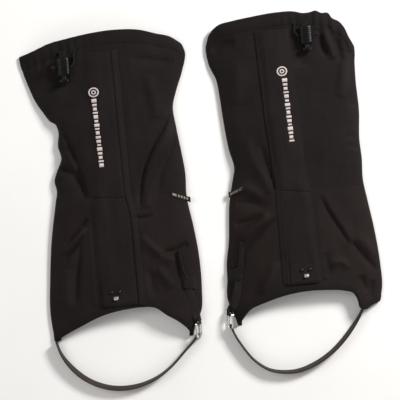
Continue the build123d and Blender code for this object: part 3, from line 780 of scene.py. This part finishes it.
def dome(centre, radius, tall, rings=6, around=20):
    """Points and faces of a rounded rivet head, in metres."""
    points, faces = [], []
    for r in range(rings + 1):
        angle = math.pi / 2 * r / rings
        for a in range(around):
            turn = 2 * math.pi * a / around
            wide = radius * math.cos(angle) if r else radius * 1.06
            points.append(Vector(centre) + Vector((wide * math.cos(turn), wide * math.sin(turn),
                                                   tall * math.sin(angle) - (0 if r else tall * .3))) * MM)
    faces = grid_faces(rings + 1, around, closed_columns=True)
    return points, faces


def build_hook(g):
    """Pressed metal lace hook, and the two rivets through the flap."""
    u, v = g.hook
    rise = front(g, u, v) + FLAP_TOP + .8
    profile = [(-6.4, -.8), (-7.4, -.2), (-9, .6), (-10.4, 1.6), (-10.5, 2.6), (-9.8, 3.2),
               (-8.9, 3.2), (-8, 3)]
    path = smooth(profile, 34)
    half = 3.0 - .4 * ease((-path[:, 0] - 9) / 2)
    s = np.linspace(-1, 1, 11)
    grid = np.stack([u + half[:, None] * s, v + path[:, :1] + 0 * s, rise + path[:, 1:] - .15 * s**2], -1)
    gaiter_grid(g, "lace_hook", grid, hook_metal, "flap", "hook_metal", thick=.9)
    points, faces = [], []
    for side in (-1, 1):
        at = u + side * 5.6
        centre = spot(g, at, v, front(g, at, v) + FLAP_TOP + 1)
        head_points, head_faces = dome(centre, 2.6, 1.7)
        faces += [tuple(i + len(points) for i in face) for face in head_faces]
        points += head_points
    make(f"{g.side}_hook_rivets_metal", points, faces, rivet_metal, f"{g.side}_flap",
         f"{g.side}_hook_rivets")


def tube(radius, around=12):
    angles = np.linspace(0, 2 * math.pi, around, endpoint=False)
    return [(radius * math.cos(a), radius * math.sin(a)) for a in angles]


def build_cord(g):
    """Drawcord from its knot through the lock into the hem, and the webbing tab that holds the lock."""
    u, v = g.lock
    lock_z = arch_height(u) + 6.8
    tunnel = smooth([(a, b - TOP_HEM / 2) for a, b in g.top], 16)
    route = [(u - 18, v, lock_z), (u - 10, v, lock_z), (u - 3, v, lock_z), (u + 4, v, lock_z),
             (u + 10, v, lock_z), (u + 13.5, v + 3, lock_z - .7), (u + 15.5, v + 8, lock_z - 2.5),
             (u + 15, v + 16, arch_height(u + 15) + 2.6), (u + 19, v + 24, arch_height(u + 19) - 1.4)]
    route += [(a, b, arch_height(a) - 1.5) for a, b in tunnel if u + 26 < a < g.top[-2][0] - 16]
    route += [(a, b, 1.9) for a, b in tunnel[::-1] if g.top[1][0] + 22 < a < g.top[-2][0] - 16]
    path = smooth(route, 420)
    path[:, 2] = np.maximum(path[:, 2], 1.8)
    knot = 2.7

    def section(i):
        share = np.exp(-((i - 4) / 3.2)**2)
        return tube(1.15 + (knot - 1.15) * share)

    swept(g, "drawcord", path, section, cord_cloth, "shell", "cord_braid")
    run = np.linspace(-1, 1, 60)
    body = np.column_stack([np.full(60, float(u)), v - run * LOCK_LONG / 2, np.full(60, lock_z)])
    ridges = .035 * (np.abs(run * 5.5 % 1 - .5) < .2) * (np.abs(run) < .75)
    swell = (1 - np.abs(run)**7)**.5 * .22 + .78 - ridges

    def barrel(i):
        angles = np.linspace(0, 2 * math.pi, 40, endpoint=False)
        return [(9 * swell[i] * np.sign(math.cos(a)) * abs(math.cos(a))**.75,
                 5.6 * swell[i] * np.sign(math.sin(a)) * abs(math.sin(a))**.75) for a in angles]

    swept(g, "cord_lock_barrel", body, barrel, plastic, "shell", "lock_plastic")
    start = v + LOCK_LONG / 2 - 1
    span = np.linspace(0, 1, 16)
    top = v + LOCK_LONG / 2 + 10
    z = (lock_z - 4.4) * (1 - span) + span * (front(g, u, top) + 1.2)
    tab = np.stack([np.full(16, float(u)), start + span * (top - start), z], -1)
    swept(g, "cord_lock_tab", tab, lambda i: flat_profile(10, 1.2, 0), webbing, "shell", "webbing")


def build_strap(g):
    """Instep strap on its edge, its anchor and tail, and the keeper over the tail."""
    route = smooth(g.strap, 150)
    share = np.linspace(0, 1, 150)
    lean = np.radians(88 - (88 - g.lean) * ease(share / .22) + (84 - g.lean) * ease((share - .45) / .35))
    middle = .3 + STRAP_WIDTH / 2 * np.sin(lean) + .7
    path = np.column_stack([route, middle])
    swept(g, "instep_strap", path, lambda i: flat_profile(STRAP_WIDTH, 1.9, lean[i], .7), strap_cloth,
          "strap", "strap_rubber")
    u, v = g.strap[0]
    climb = np.linspace(0, 1, 20)
    anchor = np.column_stack([u + 6 + 1.5 * climb, v + 1 + 21 * climb, 4.4 + 0 * climb])
    swept(g, "strap_anchor", anchor, lambda i: flat_profile(7.5 - climb[i], 2.4, math.radians(84), .8),
          strap_cloth, "shell", "strap_rubber")
    tail = smooth(g.tail, 90)
    along = np.linspace(0, 1, 90)
    width = 11 - 3 * ease((along - .25) / .6)
    roll = g.across * np.radians(50) * ease((along - .5) / .25) + np.radians(-30) * ease((.16 - along) / .16)
    z = front(g, tail[:, 0], tail[:, 1]) + 1.2 + np.abs(np.sin(roll)) * width / 2.2
    # The tail carries the darker copy of the strap's colour: painted shade
    swept(g, "strap_tail", np.column_stack([tail, z]),
          lambda i: flat_profile(width[i], 1.7, roll[i], .6), tail_cloth_painted_shade, "shell", "strap_rubber")
    build_keeper(g)


def build_keeper(g):
    """Webbing band over the strap's tail, sewn down on both sides."""
    u, v = g.keeper
    s = np.linspace(-1, 1, 33)[None]
    t = np.linspace(-8.5, 8.5, 16)[:, None]
    a, b = u + 10 * s + 0 * t, v + t - .12 * 10 * s
    over = front(g, a, b) + .9 + 2.9 * ease((1 - np.abs(s)) / .4) - .5 * (np.abs(t) > 8)
    gaiter_grid(g, "keeper_band", np.stack([a, b, over], -1), webbing, "shell", "webbing", thick=.9)


def buckle_point(g, x, y, height):
    """A point of the buckle's plane, in the gaiter's own frame: x up the leg, y across the strap."""
    u, v = g.buckle
    wide = STRAP_WIDTH + 2 * WIRE + 1
    centre_z = .3 + math.sin(BUCKLE_TILT) * wide / 2 + WIRE / 4
    return (u - y * math.cos(BUCKLE_TILT) + height * math.sin(BUCKLE_TILT), v + x,
            centre_z + y * math.sin(BUCKLE_TILT) + height * math.cos(BUCKLE_TILT))


def build_buckle_tab(g):
    """Webbing from the hem round the buckle's top bar and back."""
    bar_x = BUCKLE_LONG / 2 - WIRE / 2
    round_bar = [(bar_x + 2.3 * math.cos(a), 2.3 * math.sin(a))
                 for a in np.radians([-60, -110, -150, 180, 150, 110, 60])]
    loop = [(bar_x + 7.5, -.9)] + round_bar + [(bar_x + 7.5, .9)]
    loop = smooth(loop, 40)
    s = np.linspace(-4, 4, 9)
    rows = [[buckle_point(g, x, y, h) for y in s] for x, h in loop]
    gaiter_grid(g, "buckle_tab", np.array(rows), webbing, "shell", "webbing", thick=.7)


def build_label(g):
    """Plain woven tab sewn at the inner fold, standing a little past it."""
    low, high, v = g.label
    s = np.linspace(0, 1, 34)[None]
    t = np.linspace(-3.6, 3.6, 12)[:, None]
    a, b = low + (high - low) * s + 0 * t, v + t - .4 * (high - low) * (s - .5) + 0 * s
    fold = line_u(g.inner_line, b)
    on = front(g, np.minimum(a, fold - 2.5), b)
    z = on + .9 - 1.5 * ease((a - fold + 3) / 8)
    gaiter_grid(g, "side_label", np.stack([a, b, z], -1), label_cloth, "shell", "label_weave", thick=.8)


def label_print(g):
    """Plain bars on the side label."""
    low, high, v = g.label
    points, faces = [], []
    for start, end in ((.1, .3), (.38, .46), (.52, .6), (.66, .74), (.8, .88)):
        s = np.linspace(start, end, 6)[None]
        t = np.array([-1.7, 1.7])[:, None]
        a, b = low + (high - low) * s + 0 * t, v + t - .4 * (high - low) * (s - .5)
        fold = line_u(g.inner_line, b)
        z = front(g, np.minimum(a, fold - 2.5), b) + 1.02 - 1.5 * ease((a - fold + 3) / 8)
        faces += [tuple(i + len(points) for i in face) for face in grid_faces(2, 6, flip=g.across < 0)]
        points += list(spot(g, a, b, z).reshape(-1, 3))
    make(f"{g.side}_label_print", points, faces, label_ink, f"{g.side}_shell", thick=.08)


def stitch_row(g, line, lift, pitch=3.4, long=2.3, wide=.55):
    """Points and faces of a row of stitches along a line on the front."""
    line = np.array(line, float)
    length = np.linalg.norm(np.diff(line, axis=0), axis=1).sum()
    count = int(length / pitch)
    points, faces = [], []
    starts = resample(line, (np.arange(count) + .18) / count)
    ends = resample(line, (np.arange(count) + .18 + long / pitch) / count)
    for a, b in zip(starts, ends):
        along = (b - a) / (np.linalg.norm(b - a) + 1e-9)
        side = np.array([-along[1], along[0]]) * wide / 2
        early, late = a * .8 + b * .2, a * .2 + b * .8
        ring = [a, early + side, late + side, b, late - side, early - side]
        z = [0, .1, .1, 0, .1, .1]
        first = len(points)
        points += [(p[0], p[1], h) for p, h in zip(ring, z)]
        points += [(*(a * .7 + b * .3), .42), (*(a * .3 + b * .7), .42)]
        top_a, top_b = first + 6, first + 7
        r = [first + i for i in range(6)]
        faces += [(r[0], r[1], top_a), (r[1], r[2], top_b, top_a), (r[2], r[3], top_b), (r[3], r[4], top_b),
                  (r[4], r[5], top_a, top_b), (r[5], r[0], top_a), tuple(r[::-1])]
    points = np.array(points)
    z = front(g, points[:, 0], points[:, 1]) + lift(points[:, 0], points[:, 1]) + points[:, 2] - .12
    return spot(g, points[:, 0], points[:, 1], z), faces


def join_rows(rows):
    points, faces = [], []
    for row_points, row_faces in rows:
        first = sum(len(p) for p in points)
        faces += [tuple(i + first for i in face) for face in row_faces]
        points.append(row_points)
    return np.concatenate(points), faces


def up_line(line, by, low, high):
    v = np.linspace(low, high, 120)
    return np.column_stack([line_u(line, v) + by, v])


def build_stitching(g):
    """Rows of stitches on the shell and on the flap."""
    low, top = g.hinge[0][1], g.hinge[1][1]
    zero = level(0)
    hem_top = cross(g, g.top_line, -TOP_HEM + 1.6)[12:-12]
    shell = [
        stitch_row(g, hem_top, level(.35)),
        stitch_row(g, cross(g, g.hem_line, LOW_HEM - 2)[10:-10], level(.75)),
        stitch_row(g, up_line(g.hinge, -3.6, low + 4, g.seam_v - 20), level(.25)),
    ]
    shell.append(stitch_row(g, g.short_seam, zero))
    points, faces = join_rows(shell)
    make(f"{g.side}_shell_stitching", points, faces, thread, f"{g.side}_shell")
    on_lap = level(FLAP_TOP + SEAM_LAP)
    on_trim = level(FLAP_TOP + .5)
    on_binding = lambda u, v: FLAP_TOP + g.bind - .03 - edge_fall(g, u, v)
    left_u, right_u = line_u(g.hinge, g.seam_v) + 11, line_u(g.free, g.seam_v) - 10
    flap = [
        stitch_row(g, up_line(g.free, -7.6, low + 1, top + 2), on_binding),
        stitch_row(g, up_line(g.free, -1.6, low + 1, top + 2), on_binding),
        stitch_row(g, up_line(g.hinge, 10.6, low + 2, low + 32), on_trim),
    ]
    for v in (low + 2.5, low + 29.5, low + 32):
        ends = line_u(g.hinge, v) + 11, line_u(g.free, v) - 12
        flap.append(stitch_row(g, np.column_stack([np.linspace(*ends, 30), np.full(30, v)]), on_trim))
    across = np.linspace(left_u, right_u, 30)
    for shift, lift in ((3, on_lap), (5.5, on_lap)):
        flap.append(stitch_row(g, np.column_stack([across, line_u(g.flap_seam, across) + shift]), lift))
    points, faces = join_rows(flap)
    make(f"{g.side}_flap_stitching", points, faces, thread, f"{g.side}_flap")


def build_print(g):
    """Plain ring and a column of plain bars, printed on the flap."""
    points, faces = [], []

    def add(outline_uv, closed_faces):
        first = len(points)
        points.extend(outline_uv)
        faces.extend(tuple(i + first for i in face) for face in closed_faces)

    u, v = g.mark
    for r_in, r_out in ((5.4, 7.4), (1.6, 3.4)):
        ring = [(u + r * math.cos(a), v + r * .92 * math.sin(a)) for r in (r_in, r_out)
                for a in np.linspace(0, 2 * math.pi, 48, endpoint=False)]
        add(ring, grid_faces(2, 48, closed_columns=True, flip=True))
    start, end = np.array(g.bars[0], float), np.array(g.bars[1], float)
    along = (end - start) / np.linalg.norm(end - start)
    side = np.array([along[1], -along[0]])
    length = np.linalg.norm(end - start)
    at = 0
    pattern = (5.2, 3.4, 4.4, 2.4)
    k = 0
    while at + 6 < length:
        long = pattern[k % len(pattern)]
        half = 3.6 - (k % 3) * .5
        shape = ((0, -half), (long, -half), (long, half), (0, half))
        corners = [start + along * (at + x) + side * y for x, y in shape]
        steps = 6
        grid = [corners[0] * (1 - i / steps) * (1 - j) + corners[3] * (i / steps) * (1 - j)
                + corners[1] * (1 - i / steps) * j + corners[2] * (i / steps) * j
                for j in (0, 1) for i in range(steps + 1)]
        add([tuple(p) for p in grid], grid_faces(2, steps + 1))
        at += long + 1.8
        k += 1
    flat = np.array(points)
    z = front(g, flat[:, 0], flat[:, 1]) + FLAP_TOP + SEAM_LAP + .12
    turned = [f[::-1] if g.across < 0 else f for f in faces]
    place = spot(g, flat[:, 0], flat[:, 1], z)
    make(f"{g.side}_flap_print", place, turned, print_ink, f"{g.side}_flap", thick=.1)


def dress_cad(g):
    """Procedural materials and softened edges for the rigid CAD nodes that show."""
    for name, material, width in (("cord_lock_plunger", plastic, 1.2),
                                  ("cord_lock_spring", spring_steel, 0), ("buckle_frame", buckle_metal, .7),
                                  ("buckle_tongue", buckle_metal, .3)):
        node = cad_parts[f"{g.side}_{name}"]
        node.data.materials.clear()
        node.data.materials.append(material)
        if width:
            edge = node.modifiers.new("edges", "BEVEL")
            edge.width = width * MM
            edge.segments = 3
            edge.limit_method = "ANGLE"
            edge.angle_limit = math.radians(40)


for gaiter in PAIR:
    prepare(gaiter)
    settle(gaiter)
    build_shell(gaiter)
    build_closure(gaiter)
    build_hook(gaiter)
    build_cord(gaiter)
    build_strap(gaiter)
    build_buckle_tab(gaiter)
    build_label(gaiter)
    label_print(gaiter)
    build_stitching(gaiter)
    build_print(gaiter)
    dress_cad(gaiter)


# ---------------------------------------------------------------- floor, lights, camera

def build_stage():
    """Pale floor, soft lights and a camera straight above."""
    floor_material, tree, shader, where = nodes_of("floor")
    tree.links.new(ramp(tree, noise_node(tree, where, 6, 3), (.86, .845, .825), (.9, .885, .87)),
                   shader.inputs["Base Color"])
    shader.inputs["Roughness"].default_value = .9
    size = 6
    corners = [(-size, -size, 0), (size, -size, 0), (size, size, 0), (-size, size, 0)]
    floor = make("floor", corners, [(0, 1, 2, 3)], floor_material, None)
    world = bpy.data.worlds.new("studio")
    world.use_nodes = True
    world.node_tree.nodes["Background"].inputs["Color"].default_value = (1, .98, .96, 1)
    world.node_tree.nodes["Background"].inputs["Strength"].default_value = .3
    bpy.context.scene.world = world
    for name, place, power, wide in (("key", (1.3, 1.1, 1.15), 50, .5), ("fill", (-1.4, .4, 1.6), 11, 1.0),
                                     ("rim", (-.3, -1.6, 1.0), 5, 1.0)):
        lamp = bpy.data.lights.new(name, "AREA")
        lamp.energy, lamp.size = power, wide
        light = bpy.data.objects.new(name, lamp)
        light.location = place
        light.rotation_euler = (-Vector(place)).to_track_quat("-Z", "Y").to_euler()
        bpy.context.scene.collection.objects.link(light)
    lens = bpy.data.cameras.new("camera")
    distance, seen = 2.4, .56
    lens.lens = lens.sensor_width * (distance - .012) / seen
    camera = bpy.data.objects.new("camera", lens)
    camera.location = (0, 0, distance)
    bpy.context.scene.collection.objects.link(camera)
    bpy.context.scene.camera = camera
    bpy.context.scene.view_settings.view_transform = "Standard"


build_stage()
